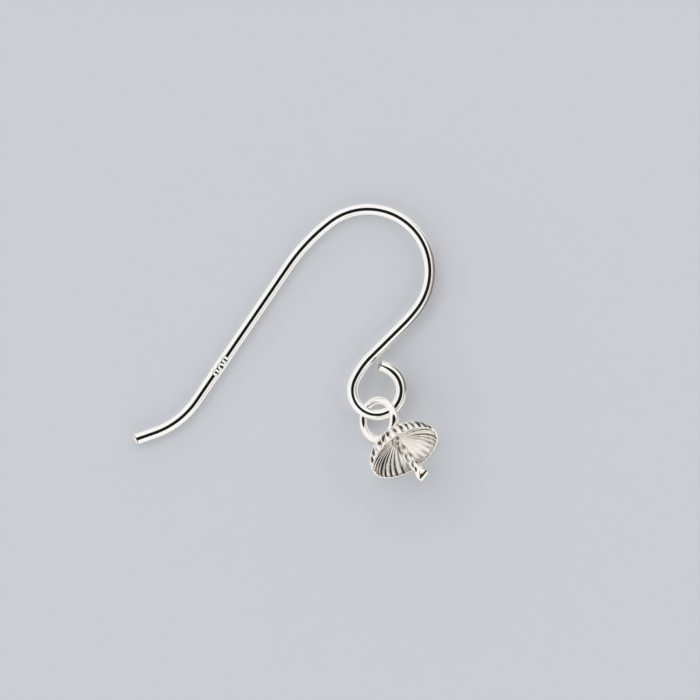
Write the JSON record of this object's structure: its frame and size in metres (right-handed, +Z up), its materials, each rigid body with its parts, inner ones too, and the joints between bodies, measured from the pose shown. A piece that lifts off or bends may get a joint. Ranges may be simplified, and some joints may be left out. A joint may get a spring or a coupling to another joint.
{
  "type": "ear wire",
  "caption": "Earring hook of bent round wire with an open loop, and a fluted pearl cup with a twisted peg hanging from the loop by its soldered ring.",
  "frame": {"origin": "middle of the bounding box, on the surface that the ear wire lies on", "axes": "+X along the longest side, from the tail's end towards the loop and cup; +Y in the surface, from the cup towards the top of the bow; +Z up from the surface"},
  "size_m": [0.0236, 0.0214, 0.0051],
  "materials": {
    "hook_silver": "polished silver",
    "cup_silver": "polished silver with slight tarnish in the flutes"
  },
  "bodies": {
    "root": {"ear_wire": "hook_silver", "pearl_cup": "cup_silver"}
  },
  "joints": []
}
